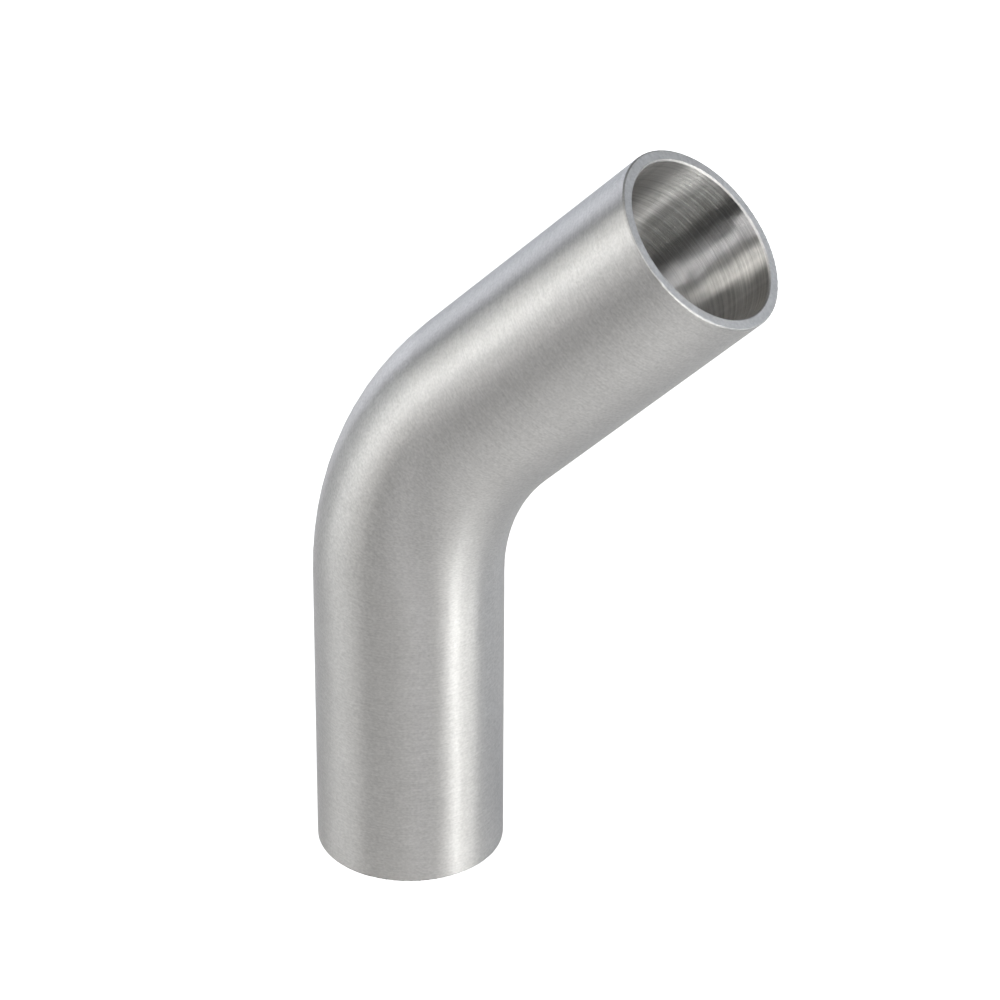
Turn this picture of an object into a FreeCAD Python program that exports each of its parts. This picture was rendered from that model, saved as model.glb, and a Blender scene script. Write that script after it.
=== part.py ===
"""Forty-five degree pipe bend: one length of tube with a straight tangent on each side of the bend.

It stands on its lower end. The origin is the centre of the lower end face, +Z runs up the lower
tangent, and the bend leans the upper tangent over towards +X. All lengths are in millimetres.
"""
import FreeCAD, Part
import math
import os

# Driving dimensions
TUBE_OD = 25.4          # one inch tube
WALL = 1.5              # wall thickness
BEND_ANGLE = 45.0       # turn of the centre line, in degrees
BEND_RADIUS = 40.0      # from the bend's centre to the centre line
LOWER_TANGENT = 41.2    # straight run from the lower end face to the bend
UPPER_TANGENT = 41.2    # straight run from the bend to the upper end face
RIM_ROUND = 0.2         # rounding of the outer edge of each end face
BORE_CHAMFER = 0.2      # bevel of the inner edge of each end face

# Sizes that follow
OUTER_RADIUS = TUBE_OD / 2
BORE_RADIUS = OUTER_RADIUS - WALL
EDGE_TOLERANCE = 1e-4

UP = FreeCAD.Vector(0, 0, 1)


def points_on_centre_line():
    """The centre line's start, bend start, bend middle, bend end and end, and its last direction."""
    bend_start = UP * LOWER_TANGENT
    bend_centre = bend_start + FreeCAD.Vector(BEND_RADIUS, 0, 0)

    def at(degrees):
        turn = math.radians(degrees)
        return bend_centre + FreeCAD.Vector(-math.cos(turn), 0, math.sin(turn)) * BEND_RADIUS

    turn = math.radians(BEND_ANGLE)
    leaving = FreeCAD.Vector(math.sin(turn), 0, math.cos(turn))
    bend_end = at(BEND_ANGLE)
    return (FreeCAD.Vector(0, 0, 0), bend_start, at(BEND_ANGLE / 2), bend_end,
            bend_end + leaving * UPPER_TANGENT, leaving)


def centre_line(start, bend_start, bend_middle, bend_end, end):
    """A straight run, a tangent arc and a second straight run, as one wire."""
    lower_run = Part.LineSegment(start, bend_start).toShape()
    bend = Part.Arc(bend_start, bend_middle, bend_end).toShape()
    upper_run = Part.LineSegment(bend_end, end).toShape()
    return Part.Wire([lower_run, bend, upper_run])


def tube_section(radius, centre, direction):
    """A round face across the centre line."""
    return Part.Face(Part.Wire(Part.makeCircle(radius, centre, direction)))


def swept_bar(path, radius, start):
    """A solid bar that follows the centre line."""
    return path.makePipe(tube_section(radius, start, UP))


def end_edges(tube, radius, centre, direction):
    """The tube's full circles of one radius that lie in an end face."""
    found = []
    for edge in tube.Edges:
        curve = edge.Curve
        if not isinstance(curve, Part.Circle):
            continue
        same_size = abs(curve.Radius - radius) < EDGE_TOLERANCE
        in_plane = abs((curve.Center - centre).dot(direction)) < EDGE_TOLERANCE
        if same_size and in_plane:
            found.append(edge)
    return found


def pipe_bend():
    """The bent tube, with both end faces rounded outside and bevelled inside."""
    start, bend_start, bend_middle, bend_end, end, leaving = points_on_centre_line()
    path = centre_line(start, bend_start, bend_middle, bend_end, end)
    tube = swept_bar(path, OUTER_RADIUS, start).cut(swept_bar(path, BORE_RADIUS, start))

    for centre, direction in ((start, -UP), (end, leaving)):
        tube = tube.makeFillet(RIM_ROUND, end_edges(tube, OUTER_RADIUS, centre, direction))
        tube = tube.makeChamfer(BORE_CHAMFER, end_edges(tube, BORE_RADIUS, centre, direction))
    return tube.Solids[0]


os.makedirs("parts", exist_ok=True)
bend = pipe_bend()
bend.exportStep("parts/pipe_bend.step")

box = bend.optimalBoundingBox(False, False)     # BoundBox is loose round a bend
print("valid", bend.isValid(), "faces", len(bend.Faces), "volume mm3", round(bend.Volume, 1))
print("box from", [round(v, 2) for v in (box.XMin, box.YMin, box.ZMin)],
      "to", [round(v, 2) for v in (box.XMax, box.YMax, box.ZMax)])
print("centre of mass", [round(v, 3) for v in bend.CenterOfMass])
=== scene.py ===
# %% [markdown]
# # A forty-five degree bend in stainless tube
#
# The object is one piece of tube: a straight lower run, a bend and a straight upper run that ends
# in an open mouth. Its shape is finished already, in the solid model that is loaded here. What is
# left for this file is how it looks: metal that was ground round the outside, turned on the inside
# and faced flat at its ends, standing on a pale floor in soft studio light.

# %% Load the solid model
import math

import bpy
from mathutils import Matrix, Vector


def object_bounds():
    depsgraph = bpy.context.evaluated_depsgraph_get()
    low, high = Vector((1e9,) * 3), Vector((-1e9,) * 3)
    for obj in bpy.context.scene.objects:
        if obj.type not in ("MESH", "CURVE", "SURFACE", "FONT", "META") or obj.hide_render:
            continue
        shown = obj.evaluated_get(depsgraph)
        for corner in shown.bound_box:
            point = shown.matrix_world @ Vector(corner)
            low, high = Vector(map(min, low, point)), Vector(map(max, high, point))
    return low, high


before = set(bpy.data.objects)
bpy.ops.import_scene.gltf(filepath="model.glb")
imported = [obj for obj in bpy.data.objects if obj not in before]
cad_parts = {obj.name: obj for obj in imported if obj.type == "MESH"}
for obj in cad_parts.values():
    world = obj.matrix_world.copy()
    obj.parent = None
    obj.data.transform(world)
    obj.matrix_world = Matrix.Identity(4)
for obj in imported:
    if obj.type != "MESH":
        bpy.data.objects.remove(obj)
solid_low, solid_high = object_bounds()
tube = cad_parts["pipe_bend"]
MM = 0.001


def in_mm(lengths):
    """Lengths in metres, given back in rounded millimetres."""
    return [round(length / MM, 1) for length in lengths]


print("solid model from", in_mm(solid_low), "to", in_mm(solid_high), "mm")

# %% [markdown]
# ## The camera
#
# The picture was taken from above and a little to the right of the bend's own plane, with a long
# lens from about half a metre. A camera is easiest to set as a photographer would say it: the
# point it looks at, how far it stands off, its two angles, and how far it is rolled.

# %% Camera
LENS = 152.5
NEAREST_SEEN = 10 * MM
AIM = Vector((13.46, 0.0, 55.2)) * MM
STAND_OFF = 549.4 * MM
CAMERA_AZIMUTH = math.radians(26.38)
CAMERA_ELEVATION = math.radians(29.17)
CAMERA_ROLL = math.radians(0.28)


def direction(azimuth, elevation):
    """A unit vector out from the object: azimuth 0 is towards -Y, and a quarter turn is towards +X."""
    flat = math.cos(elevation)
    return Vector((math.sin(azimuth) * flat, -math.cos(azimuth) * flat, math.sin(elevation)))


def look_along(view):
    """The turn that points an object's -Z axis along view and keeps its Y axis upright."""
    return view.to_track_quat("-Z", "Y")


camera_data = bpy.data.cameras.new("camera")
camera_data.lens = LENS
camera_data.clip_start = NEAREST_SEEN
camera = bpy.data.objects.new("camera", camera_data)
bpy.context.scene.collection.objects.link(camera)
away = direction(CAMERA_AZIMUTH, CAMERA_ELEVATION)
roll = Matrix.Rotation(CAMERA_ROLL, 4, "Z")
camera.matrix_world = Matrix.LocRotScale(AIM + away * STAND_OFF, look_along(-away), None) @ roll
bpy.context.scene.camera = camera
print("camera at", in_mm(camera.matrix_world.translation), "mm")

# %% [markdown]
# ## The floor
#
# The bend stands on a plain pale sweep. It is one large square, far larger than the view, so no
# edge of it shows from any side. The tube mirrors it, and a pale grey gives the right brightness
# there, but the picture's ground is pure white. So the floor glows a little for the camera alone,
# which lifts it to white and adds no light to the scene.

# %% Floor
FLOOR_SIZE = 6.0
FLOOR_TONE = 0.7
FLOOR_LIFT = 0.75
WHITE = (1, 1, 1, 1)
bpy.ops.mesh.primitive_plane_add(size=FLOOR_SIZE, location=(0, 0, solid_low.z))
floor = bpy.context.object
floor.name = "floor"
floor_finish = bpy.data.materials.new("pale_floor")
floor_finish.use_nodes = True
floor_nodes = floor_finish.node_tree.nodes
floor_shader = floor_nodes["Principled BSDF"]
floor_shader.inputs["Base Color"].default_value = (FLOOR_TONE, FLOOR_TONE, FLOOR_TONE, 1)
floor_shader.inputs["Roughness"].default_value = 0.9
floor_shader.inputs["Specular IOR Level"].default_value = 0.1
floor_shader.inputs["Emission Color"].default_value = WHITE
floor_seen_by = floor_nodes.new("ShaderNodeLightPath")
lift = floor_nodes.new("ShaderNodeMath")
lift.operation = "MULTIPLY"
lift.inputs[1].default_value = FLOOR_LIFT
floor_finish.node_tree.links.new(floor_seen_by.outputs["Is Camera Ray"], lift.inputs[0])
floor_finish.node_tree.links.new(lift.outputs[0], floor_shader.inputs["Emission Strength"])
floor.data.materials.append(floor_finish)
print("floor", FLOOR_SIZE, "m square, with a tone of", FLOOR_TONE)

# %% [markdown]
# ## The light
#
# Bright metal shows its surroundings more than its own colour. The bands along the tube are the
# reflections of soft lamps, so each lamp is placed by the band that it makes: a long one low on
# each side, a few high ones in front, and some behind that light the edges of the outline and the
# inside of the mouth. Those behind are a little blue, as the edges are. Radiance is how bright a
# lamp looks where it is mirrored, so a lamp can be made larger without making its band brighter.

# %% Softboxes
LAMP_DISTANCE = 0.9
LAMP_AIM = Vector((15.0, 0.0, 50.0)) * MM


def softbox(name, azimuth, elevation, width, height, radiance, colour):
    """A rectangular soft lamp that faces the object, at two angles in degrees."""
    lamp = bpy.data.lights.new(name, "AREA")
    lamp.shape = "RECTANGLE"
    lamp.size = width
    lamp.size_y = height
    lamp.energy = math.pi * width * height * radiance
    lamp.color = colour
    holder = bpy.data.objects.new(name, lamp)
    bpy.context.scene.collection.objects.link(holder)
    out = direction(math.radians(azimuth), math.radians(elevation))
    holder.matrix_world = Matrix.LocRotScale(LAMP_AIM + out * LAMP_DISTANCE, look_along(-out), None)
    holder.visible_camera = False


# Name, azimuth and elevation in degrees, width and height in metres, radiance, and colour.
softbox("right_softbox", 94.7, 7.3, 0.368, 0.120, 13.26, (1.00, 0.99, 0.96))
softbox("high_right_softbox", 101.2, 40.7, 0.383, 1.528, 0.92, (0.86, 0.93, 1.00))
softbox("left_softbox", -53.5, 6.0, 0.766, 0.343, 1.84, (1.00, 1.00, 0.99))
softbox("overhead_softbox", -10.8, 67.1, 0.142, 0.188, 5.96, (1.00, 0.98, 0.97))
softbox("back_softbox", -142.4, 4.1, 0.472, 0.283, 1.99, (0.86, 0.91, 1.00))
softbox("back_left_softbox", -115.0, 6.6, 0.379, 0.769, 1.82, (0.89, 0.92, 1.00))
softbox("back_right_softbox", 144.4, 9.9, 1.054, 0.267, 2.25, (0.87, 0.92, 1.00))
softbox("left_upper_softbox", -71.3, 11.4, 0.827, 0.121, 4.09, (0.95, 0.98, 1.00))
softbox("front_softbox", 40.0, 52.0, 0.252, 0.214, 13.40, (0.97, 0.96, 1.00))
softbox("high_left_softbox", -38.1, 62.6, 0.505, 0.168, 9.10, (1.00, 0.98, 0.93))
softbox("front_right_softbox", 78.0, 8.3, 0.138, 0.333, 13.30, (0.99, 1.00, 0.99))
softbox("front_middle_softbox", 19.0, 39.9, 0.160, 0.170, 7.26, (1.00, 0.99, 0.97))
softbox("right_middle_softbox", 68.2, 22.3, 0.167, 0.160, 13.16, (1.00, 0.99, 0.98))
print(len(bpy.data.lights), "softboxes,", LAMP_DISTANCE, "m from the object")

# %% [markdown]
# The tube mirrors no sky. Only the camera sees the world's white, above the far edge of the floor.

# %% World and view
world = bpy.data.worlds.new("studio")
world.use_nodes = True
surroundings = world.node_tree.nodes["Background"]
surroundings.inputs["Color"].default_value = WHITE
world_seen_by = world.node_tree.nodes.new("ShaderNodeLightPath")
world.node_tree.links.new(world_seen_by.outputs["Is Camera Ray"], surroundings.inputs["Strength"])
bpy.context.scene.world = world
bpy.context.scene.view_settings.view_transform = "Standard"
print("view transform", bpy.context.scene.view_settings.view_transform)

# %% [markdown]
# ## Short ways to wire nodes
#
# A finish is a tree of nodes, and most of them are sums. This small class adds a node, sets its
# inputs from numbers or from other nodes, and places it on the page, so that the steps below read
# as what they do. Each effect is a node group with named sockets, made by the function after it.

# %% Wiring
class Wiring:
    """A short way to add nodes to a tree and link them."""

    NODES_IN_A_ROW, COLUMN, ROW = 9, 220, 260

    def __init__(self, tree):
        self.tree = tree
        self.count = 0

    def node(self, kind, inputs=(), **settings):
        """A new node of one kind, with its inputs fed and its settings made."""
        made = self.tree.nodes.new(kind)
        row, place_in_row = divmod(self.count, self.NODES_IN_A_ROW)
        made.location = (self.COLUMN * place_in_row, -self.ROW * row)
        self.count += 1
        for name, value in settings.items():
            setattr(made, name, value)
        for place, value in dict(inputs).items():
            self.feed(made.inputs[place], value)
        return made

    def feed(self, socket, value):
        """Link another node's output to a socket, or set the socket to a plain value."""
        if isinstance(value, bpy.types.NodeSocket):
            self.tree.links.new(value, socket)
        else:
            socket.default_value = value

    def math(self, operation, *values, clamp=False):
        """One sum on numbers."""
        made = self.node("ShaderNodeMath", enumerate(values), operation=operation, use_clamp=clamp)
        return made.outputs[0]

    def vector(self, operation, *values):
        """One sum on vectors, or a vector's length."""
        made = self.node("ShaderNodeVectorMath", enumerate(values), operation=operation)
        return made.outputs["Value" if operation == "LENGTH" else "Vector"]

    def scaled(self, vector, factor):
        """A vector or a colour, times a number."""
        made = self.node("ShaderNodeVectorMath", {0: vector, "Scale": factor}, operation="SCALE")
        return made.outputs["Vector"]

    def joined(self, **parts):
        """A vector from its parts, X, Y and Z; a part that isn't given is 0."""
        return self.node("ShaderNodeCombineXYZ", parts).outputs[0]

    def split(self, vector):
        """A vector's parts, by the names X, Y and Z."""
        return self.node("ShaderNodeSeparateXYZ", {0: vector}).outputs

    def ramp(self, value, low, high):
        """0 below low, 1 above high and straight between; swap the two for a falling ramp."""
        made = self.node("ShaderNodeMapRange", {"Value": value, "From Min": low, "From Max": high},
                         clamp=True)
        return made.outputs[0]


FLOAT, VECTOR = "NodeSocketFloat", "NodeSocketVector"


def new_group(name, inputs, outputs):
    """An empty node group with named sockets, and its input and output nodes."""
    tree = bpy.data.node_groups.new(name, "ShaderNodeTree")
    for label, kind, value in inputs:
        socket = tree.interface.new_socket(label, in_out="INPUT", socket_type=kind)
        socket.default_value = value
    for label, kind in outputs:
        tree.interface.new_socket(label, in_out="OUTPUT", socket_type=kind)
    wiring = Wiring(tree)
    source = wiring.node("NodeGroupInput").outputs
    result = wiring.node("NodeGroupOutput").inputs
    return tree, wiring, source, result


def tell(group):
    """Say what a group is called and how many nodes it has."""
    print("group", group.name, "with", len(group.nodes), "nodes")


print("nodes are placed", Wiring.NODES_IN_A_ROW, "in a row")

# %% [markdown]
# ## Coordinates that follow the bend
#
# The marks of grinding and turning run round the tube, also in the bend. A pattern is easy to draw
# on a straight tube, so this group works out where each point of the surface would lie if the tube
# were straight again. It turns the point back about the bend's centre, by the angle at which it
# stands there, and moves it up by the length of the arc that this takes away.

# %% The straight-tube group
TUBE_RADIUS = 12.7 * MM
BORE_RADIUS = 11.2 * MM
LOWER_TANGENT = 41.2 * MM
UPPER_TANGENT = 41.2 * MM
BEND_RADIUS = 40.0 * MM
BEND_ANGLE = math.radians(45)
ARC_LENGTH = BEND_RADIUS * BEND_ANGLE
TUBE_LENGTH = LOWER_TANGENT + ARC_LENGTH + UPPER_TANGENT


def straight_tube_group():
    """Object coordinates in, the same point on the straightened tube out, in metres."""
    tree, w, source, result = new_group(
        "straight_tube",
        [("Lower Tangent", FLOAT, LOWER_TANGENT), ("Bend Radius", FLOAT, BEND_RADIUS),
         ("Bend Angle", FLOAT, BEND_ANGLE)],
        [("Position", VECTOR), ("Along", FLOAT), ("Radius", FLOAT)])
    place = w.node("ShaderNodeTexCoord").outputs["Object"]
    centre = w.joined(X=source["Bend Radius"], Z=source["Lower Tangent"])
    from_centre = w.vector("SUBTRACT", place, centre)
    parts = w.split(from_centre)
    turned = w.math("ARCTAN2", parts["Z"], w.math("MULTIPLY", parts["X"], -1.0))
    angle = w.math("MINIMUM", w.math("MAXIMUM", turned, 0.0), source["Bend Angle"])
    back = w.node("ShaderNodeVectorRotate",
                  {"Vector": from_centre, "Angle": w.math("MULTIPLY", angle, -1.0)},
                  rotation_type="Y_AXIS").outputs[0]
    arc = w.math("MULTIPLY", angle, source["Bend Radius"])
    straight = w.vector("ADD", w.vector("ADD", back, centre), w.joined(Z=arc))
    straight_parts = w.split(straight)
    from_axis = w.joined(X=straight_parts["X"], Y=straight_parts["Y"])
    w.feed(result["Position"], straight)
    w.feed(result["Along"], straight_parts["Z"])
    w.feed(result["Radius"], w.vector("LENGTH", from_axis))
    return tree


straight_tube = straight_tube_group()
tell(straight_tube)

# %% [markdown]
# ## Which finish belongs where
#
# One cut of tube has four kinds of surface: the ground outside, the turned bore, the flat faced
# ends, and the narrow broken edges between them. All of them are told apart by two numbers, the
# distance from the tube's axis and the distance from the nearer end, so a small group makes one
# mask for each. The borders are soft over a few hundredths of a millimetre.

# %% The zones group
WALL_SKIN = (0.02 * MM, 0.06 * MM)              # in from a wall, where its own finish ends
EDGE_WIDTH = (0.16 * MM, 0.2 * MM)              # in from a wall, where a broken edge ends
END_FACE_DEPTH = (0.02 * MM, 0.04 * MM)         # from an end, along the tube
EDGE_DEPTH = (0.2 * MM, 0.26 * MM)              # from an end, along the tube


def tube_zones_group():
    """Masks for the bore, the flat end faces and the broken edges beside them."""
    tree, w, source, result = new_group(
        "tube_zones",
        [("Along", FLOAT, 0.0), ("Radius", FLOAT, 0.0), ("Tube Length", FLOAT, TUBE_LENGTH),
         ("Tube Radius", FLOAT, TUBE_RADIUS), ("Bore Radius", FLOAT, BORE_RADIUS)],
        [("Bore", FLOAT), ("End Face", FLOAT), ("Edges", FLOAT)])
    from_top = w.math("SUBTRACT", source["Tube Length"], source["Along"])
    from_end = w.math("MINIMUM", source["Along"], from_top)
    past_bore = w.math("SUBTRACT", source["Radius"], source["Bore Radius"])
    short_of_outside = w.math("SUBTRACT", source["Tube Radius"], source["Radius"])
    within_wall = w.math("MULTIPLY", w.ramp(past_bore, *EDGE_WIDTH),
                         w.ramp(short_of_outside, *EDGE_WIDTH))
    end_face = w.math("MULTIPLY", within_wall, w.ramp(from_end, *reversed(END_FACE_DEPTH)))
    near_end = w.ramp(from_end, *reversed(EDGE_DEPTH))
    w.feed(result["Bore"], w.ramp(past_bore, *reversed(WALL_SKIN)))
    w.feed(result["End Face"], end_face)
    w.feed(result["Edges"], w.math("MULTIPLY", near_end, w.math("SUBTRACT", 1.0, end_face)))
    return tree


tube_zones = tube_zones_group()
tell(tube_zones)
print("tube length", round(TUBE_LENGTH / MM, 2), "mm")

# %% [markdown]
# ## Lines that run round the tube
#
# Grinding leaves short fine strokes, and turning leaves long even ones. Both are noise that is
# stretched far round the tube and squeezed along it, so one group serves for both. Two layers of
# strokes that are moved apart by an offset don't fall on each other.

# %% The strokes group
def strokes_group():
    """A height from 0 to 1 in strokes of a given length and width, round the straightened tube."""
    tree, w, source, result = new_group(
        "strokes_round_tube",
        [("Position", VECTOR, (0, 0, 0)), ("Across", FLOAT, 0.0), ("Stroke Length", FLOAT, 2 * MM),
         ("Line Width", FLOAT, 0.1 * MM), ("Offset", FLOAT, 0.0)],
        [("Height", FLOAT)])
    parts = w.split(source["Position"])
    moved = w.joined(X=w.math("ADD", parts["X"], source["Offset"]), Y=parts["Y"], Z=source["Across"])
    size = w.joined(X=source["Stroke Length"], Y=source["Stroke Length"], Z=source["Line Width"])
    noise = w.node("ShaderNodeTexNoise", {"Vector": w.vector("DIVIDE", moved, size), "Scale": 1.0,
                                          "Detail": 1.0, "Roughness": 0.5})
    w.feed(result["Height"], noise.outputs["Fac"])
    return tree


strokes = strokes_group()
tell(strokes)

# %% [markdown]
# ## The finest grooves
#
# Under the strokes lie grooves too fine to be seen. A belt or a cutter leaves them side by side,
# each a shallow hollow with a sharp crest on both sides. Their slopes draw a reflection out along
# the tube, and the steeper they are, the further it goes. A plain hollow's slope grows evenly from
# its middle to its crest. Real crests are steeper than that, so a second term doubles the slope
# there, which carries a faint part of each highlight further. The pitch wavers a little. On the
# walls the grooves are counted along the tube, and on the flat ends out from its axis.

# %% The grooves group
WAVER_SCALE = 0.4 / MM
CREST_FACTOR = 16 / 3                           # makes the second term's slope 1 at the crest


def grooves_group():
    """The height of even hollow grooves, in pitches: at a steepness of 1 the plain slope reaches 1."""
    tree, w, source, result = new_group(
        "fine_grooves",
        [("Position", VECTOR, (0, 0, 0)), ("Across", FLOAT, 0.0), ("Pitch", FLOAT, 0.07 * MM),
         ("Waver", FLOAT, 3.0), ("Crests", FLOAT, 1.0)],
        [("Height", FLOAT)])
    slow = w.node("ShaderNodeTexNoise", {"Vector": source["Position"], "Scale": WAVER_SCALE,
                                         "Detail": 0.0})
    turns = w.math("ADD", w.math("DIVIDE", source["Across"], source["Pitch"]),
                   w.math("MULTIPLY", slow.outputs["Fac"], source["Waver"]))
    from_middle = w.math("SUBTRACT", w.math("FRACT", turns), 0.5)
    square = w.math("MULTIPLY", from_middle, from_middle)
    steep_sides = w.math("MULTIPLY", w.math("POWER", square, 3.0),
                         w.math("MULTIPLY", source["Crests"], CREST_FACTOR))
    w.feed(result["Height"], w.math("ADD", square, steep_sides))
    return tree


fine_grooves = grooves_group()
tell(fine_grooves)

# %% [markdown]
# ## Pits and clouds
#
# A ground tube is never quite even. Here and there a grain of the belt has torn out a tiny pit, and
# the belt's changing pressure leaves faint clouds, a centimetre or so across. The clouds are plain
# noise. The pits are the centres of a few cells of a Voronoi pattern, chosen by each cell's own
# random colour.

# %% The pits group
PIT_SHARPNESS = 3.0


def pits_group():
    """1 in a few tiny round pits and 0 elsewhere."""
    tree, w, source, result = new_group(
        "tiny_pits",
        [("Position", VECTOR, (0, 0, 0)), ("Spacing", FLOAT, 2 * MM), ("Size", FLOAT, 0.08 * MM),
         ("Share", FLOAT, 0.3)],
        [("Pits", FLOAT)])
    place = w.scaled(source["Position"], w.math("DIVIDE", 1.0, source["Spacing"]))
    cells = w.node("ShaderNodeTexVoronoi", {"Vector": place, "Scale": 1.0}).outputs
    away = w.math("MULTIPLY", cells["Distance"], source["Spacing"])
    near = w.math("SUBTRACT", 1.0, w.math("DIVIDE", away, source["Size"], clamp=True), clamp=True)
    chance = w.node("ShaderNodeSeparateColor", {"Color": cells["Color"]}).outputs["Red"]
    chosen = w.math("LESS_THAN", chance, source["Share"])
    pits = w.math("MULTIPLY", near, PIT_SHARPNESS, clamp=True)
    w.feed(result["Pits"], w.math("MULTIPLY", pits, chosen))
    return tree


tiny_pits = pits_group()
tell(tiny_pits)

# %% [markdown]
# ## The steel
#
# One material covers the whole tube. Three things make its finish. The fine grooves are narrower
# than a pixel, so they don't show as lines: their slopes draw every reflection out along the tube,
# as brushing does. Wider strokes show only as a slight change of tone and relief. And the walls
# reflect more sharply round the tube than along it, which gives the bore its long clear streaks.
#
# First come the coordinates and the masks, which every later step reads.

# %% Steel material
steel = bpy.data.materials.new("stainless_steel_finish")
steel.use_nodes = True
w = Wiring(steel.node_tree)
shader = steel.node_tree.nodes["Principled BSDF"]
shader.inputs["Metallic"].default_value = 1.0
place = w.node("ShaderNodeGroup", node_tree=straight_tube).outputs
zones = w.node("ShaderNodeGroup", {"Along": place["Along"], "Radius": place["Radius"]},
               node_tree=tube_zones).outputs
print("material", steel.name, "reads", straight_tube.name, "and", tube_zones.name)

# %% [markdown]
# Six short functions serve the steps below: three patterns, and three ways to put patterns
# together. The patterns are drawn on the straightened tube, so they follow the bend.

# %% Patterns and sums
def lines(stroke, width, across=place["Along"], offset=0.0):
    """Strokes with a length round the tube and a width along it, in millimetres, as a height."""
    inputs = {"Position": place["Position"], "Across": across, "Stroke Length": stroke * MM,
              "Line Width": width * MM, "Offset": offset * MM}
    return w.node("ShaderNodeGroup", inputs, node_tree=strokes).outputs["Height"]


def grooves(pitch, steepness, across=place["Along"]):
    """A relief of fine grooves, in millimetres, with the given steepness."""
    inputs = {"Position": place["Position"], "Across": across, "Pitch": pitch * MM}
    height = w.node("ShaderNodeGroup", inputs, node_tree=fine_grooves).outputs["Height"]
    return w.math("MULTIPLY", height, w.math("MULTIPLY", pitch, steepness))


def soft_noise(lumps_in_a_mm, detail=0.0):
    """Plain noise from 0 to 1."""
    return w.node("ShaderNodeTexNoise", {"Vector": place["Position"], "Scale": lumps_in_a_mm / MM,
                                         "Detail": detail}).outputs["Fac"]


def mix(mask, first, second):
    """first where the mask is 0 and second where it is 1; a Mix node has its numbers at 2 and 3."""
    return w.node("ShaderNodeMix", {0: mask, 2: first, 3: second}, data_type="FLOAT").outputs[0]


def layers(*pairs):
    """Several patterns added up, each with its own weight."""
    total = None
    for pattern, weight in pairs:
        layer = w.math("MULTIPLY", pattern, weight)
        total = layer if total is None else w.math("ADD", total, layer)
    return total


def centred(pattern):
    """A pattern from 0 to 1, moved to lie round 0."""
    return w.math("SUBTRACT", pattern, 0.5)


print("patterns are drawn on a tube", in_mm([TUBE_LENGTH])[0], "mm long")

# %% [markdown]
# Bending stretches the skin of the metal on one side and squeezes it on the other, which roughens
# it a little. So the long ground lines are fainter in the bend and the short speckle is stronger.
# One mask says where the bend is, and it changes slowly, as the skin does.

# %% The bend's mask and the lines of each zone
BEND_STARTS = (34 * MM, 50 * MM)
BEND_ENDS = (66 * MM, 84 * MM)
WANDER = 0.06 * MM
in_bend = w.math("MULTIPLY", w.ramp(place["Along"], *BEND_STARTS),
                 w.ramp(place["Along"], *reversed(BEND_ENDS)))
wavering = w.math("ADD", place["Along"], w.math("MULTIPLY", soft_noise(0.6), WANDER))
ground = lines(stroke=3.0, width=0.22, across=wavering, offset=20)
speckle = lines(stroke=0.4, width=0.28, offset=40)
bore_turned = lines(stroke=12.0, width=0.26, offset=60)
pits = w.node("ShaderNodeGroup", {"Position": place["Position"]}, node_tree=tiny_pits).outputs["Pits"]
print("the bend's mask is full from", in_mm(BEND_STARTS)[1], "to", in_mm(BEND_ENDS)[0], "mm")

# %% [markdown]
# The relief is the sum of the fine grooves and of these lines, and the masks choose between the
# zones. Its heights are in millimetres, and the Bump node's Distance turns them into metres. Bump
# finds a slope from two heights close together. Its Filter Width is how far apart they are, in
# pixels, and a small one keeps both in the same groove. The broken edges are too narrow to hold
# lines, so the relief fades there.

# %% Relief
GROOVE_PITCH = 0.07
OUTSIDE_STEEPNESS = 0.35
BORE_STEEPNESS = 0.6
FACE_STEEPNESS = 0.33
GROUND_HEIGHT = 0.004
SPECKLE_HEIGHT = (0.005, 0.008)                 # on the straight runs, and in the bend
PIT_DEPTH = 0.01
TURNED_HEIGHT = 0.06
EDGE_FADE = 0.8
fine = grooves(GROOVE_PITCH, mix(zones["Bore"], OUTSIDE_STEEPNESS, BORE_STEEPNESS))
face_fine = grooves(GROOVE_PITCH, FACE_STEEPNESS, across=place["Radius"])
outside = layers((ground, GROUND_HEIGHT), (speckle, mix(in_bend, *SPECKLE_HEIGHT)), (pits, -PIT_DEPTH))
bore = w.math("MULTIPLY", bore_turned, TURNED_HEIGHT)
relief = w.math("ADD", fine, mix(zones["Bore"], outside, bore))
relief = mix(zones["End Face"], relief, face_fine)
left_at_edges = w.math("SUBTRACT", 1.0, w.math("MULTIPLY", zones["Edges"], EDGE_FADE))
relief = w.math("MULTIPLY", relief, left_at_edges)
bump = w.node("ShaderNodeBump", {"Height": relief, "Distance": 1.0 * MM, "Strength": 1.0,
                                 "Filter Width": 0.02})
w.feed(shader.inputs["Normal"], bump.outputs["Normal"])
print("fine grooves", GROOVE_PITCH, "mm apart; turned lines", TURNED_HEIGHT, "mm high")

# %% [markdown]
# A wall that is lined all one way spreads a reflection far across its lines and little along them,
# which the shader calls anisotropy. It needs to be told the way the reflection is drawn out, which
# is the way the tube runs at that place. On the cut ends that way points straight out of the metal,
# so they go without it. An export drops the anisotropy and its direction, so both are worked out in
# the material itself, from the same bend as before, and no group serves them.

# %% The way the tube runs, and the walls' anisotropy
WALL_ANISOTROPY = 0.8
bend_centre = w.joined(X=BEND_RADIUS, Z=LOWER_TANGENT)
from_bend_centre = w.vector("SUBTRACT", w.node("ShaderNodeTexCoord").outputs["Object"], bend_centre)
parts = w.split(from_bend_centre)
turned = w.math("ARCTAN2", parts["Z"], w.math("MULTIPLY", parts["X"], -1.0))
lean = w.math("MINIMUM", w.math("MAXIMUM", turned, 0.0), BEND_ANGLE)
sine = w.math("SINE", lean)
cosine = w.math("COSINE", lean)
w.feed(shader.inputs["Tangent"], w.joined(X=sine, Z=cosine))

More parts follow.
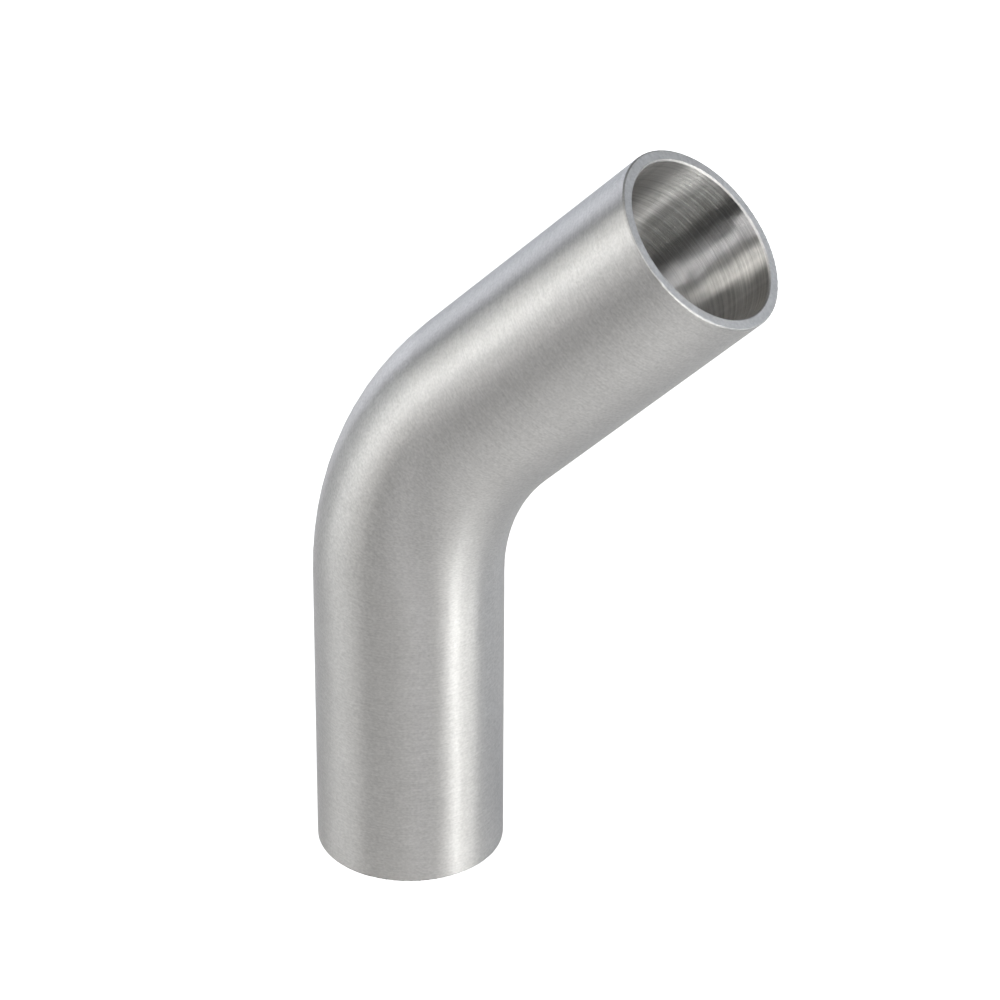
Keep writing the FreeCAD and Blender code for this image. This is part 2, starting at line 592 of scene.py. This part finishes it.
outwards = w.math("SUBTRACT", w.math("MULTIPLY", parts["Z"], sine),
                  w.math("MULTIPLY", parts["X"], cosine))
off_axis = w.joined(X=w.math("SUBTRACT", outwards, BEND_RADIUS), Y=parts["Y"])
from_axis = w.vector("LENGTH", off_axis)
in_metal = w.math("MULTIPLY", w.ramp(w.math("SUBTRACT", from_axis, BORE_RADIUS), *WALL_SKIN),
                  w.ramp(w.math("SUBTRACT", TUBE_RADIUS, from_axis), *WALL_SKIN))
on_walls = w.math("SUBTRACT", 1.0, in_metal)
w.feed(shader.inputs["Anisotropic"], w.math("MULTIPLY", on_walls, WALL_ANISOTROPY))
print("anisotropy", WALL_ANISOTROPY, "on both walls and none on the cut ends")

# %% [markdown]
# Roughness is low in the bore, where the cutter left bright metal, and a little higher on the
# ground outside. The faced ends are about as rough as the outside, and the broken edges, as a file
# leaves them, are rougher still.

# %% Roughness
OUTSIDE_ROUGHNESS = 0.38
BORE_ROUGHNESS = 0.28
FACE_ROUGHNESS = 0.4
EDGE_ROUGHNESS = 0.55
roughness = mix(zones["Bore"], OUTSIDE_ROUGHNESS, BORE_ROUGHNESS)
roughness = mix(zones["End Face"], roughness, FACE_ROUGHNESS)
roughness = mix(zones["Edges"], roughness, EDGE_ROUGHNESS)
w.feed(shader.inputs["Roughness"], roughness)
print("roughness", OUTSIDE_ROUGHNESS, "outside and", BORE_ROUGHNESS, "in the bore")

# %% [markdown]
# The metal's colour is a warm grey, a little brighter in the bore, and a Mix node has its colours
# at 6 and 7. Its tone follows the strokes, the clouds and the pits. The bore has two sets of lines:
# the turned ones round it, and faint ones along it, which were there before it was turned. Every
# broken edge at both ends is painted darker, as painted shade for the dark line at the tube's foot.

# %% Colour
OUTSIDE_STEEL = (0.6, 0.592, 0.579, 1)
BORE_STEEL = (0.68, 0.67, 0.654, 1)
GROUND_TONE = (0.22, 0.1)                       # on the straight runs, and in the bend
SPECKLE_TONE = (0.4, 0.5)                       # on the straight runs, and in the bend
CLOUD_TONE = 0.08
PIT_TONE = -0.25
TURNED_TONE = 0.75
LENGTHWISE_TONE = 0.4
EDGE_PAINTED_SHADE = -0.18
clouds = soft_noise(0.11, detail=1.0)
lengthwise = lines(stroke=1.1, width=60.0, offset=140)
outside_tone = layers((centred(ground), mix(in_bend, *GROUND_TONE)),
                      (centred(speckle), mix(in_bend, *SPECKLE_TONE)),
                      (centred(clouds), CLOUD_TONE), (pits, PIT_TONE))
bore_tone = layers((centred(bore_turned), TURNED_TONE), (centred(lengthwise), LENGTHWISE_TONE))
wall_tone = w.math("ADD", 1.0, mix(zones["Bore"], outside_tone, bore_tone))
# Painted shade: the broken edges at both ends are darkened, standing in for the dark line where the
# tube stands on the floor.
tone = w.math("ADD", wall_tone, w.math("MULTIPLY", zones["Edges"], EDGE_PAINTED_SHADE))
colour = w.node("ShaderNodeMix", {0: zones["Bore"], 6: OUTSIDE_STEEL, 7: BORE_STEEL},
                data_type="RGBA").outputs[2]
w.feed(shader.inputs["Base Color"], w.scaled(colour, tone))
tube.material_slots[0].material = steel
print("material", steel.name, "with", len(steel.node_tree.nodes), "nodes")
